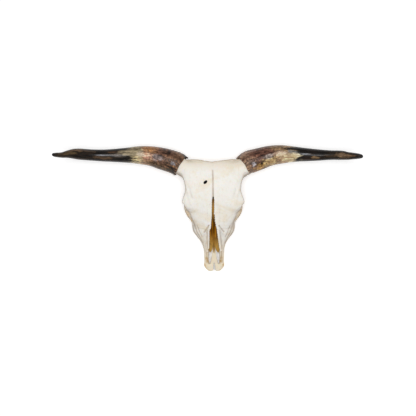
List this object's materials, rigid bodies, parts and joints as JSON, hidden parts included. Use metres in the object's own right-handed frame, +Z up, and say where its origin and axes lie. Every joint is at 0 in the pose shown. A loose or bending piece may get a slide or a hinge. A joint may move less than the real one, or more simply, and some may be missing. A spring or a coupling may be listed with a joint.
{
  "type": "longhorn steer skull",
  "caption": "Longhorn steer skull without its lower jaw, with long dark polished horns, worn cheek teeth and an open split over the nose, lying on its teeth as a still display piece.",
  "frame": {"origin": "under the middle of the whole, on the floor it lies on", "axes": "+X to the right when looking down with the muzzle towards you, along the horns; +Y from the muzzle to the poll; +Z up, out of the forehead"},
  "size_m": [1.3022, 0.5572, 0.3096],
  "materials": {
    "bone": "dry bleached bone, matt, cream at the edges",
    "inner_bone": "unbleached brown bone inside the nose, matt",
    "horn": "polished horn keratin, mottled black, brown and tan"
  },
  "bodies": {
    "root": {"nasal_left": "bone", "nasal_right": "bone", "premaxilla_left": "bone", "premaxilla_right": "bone", "frontal_left": "bone", "frontal_right": "bone", "lacrimal_left": "bone", "lacrimal_right": "bone", "zygomatic_left": "bone", "zygomatic_right": "bone", "temporal_left": "bone", "temporal_right": "bone", "maxilla_left": "bone", "maxilla_right": "bone", "cranium": "bone", "vomer": "inner_bone", "turbinate_left": "inner_bone", "turbinate_right": "inner_bone", "horn_left": "horn", "horn_right": "horn"}
  },
  "joints": []
}
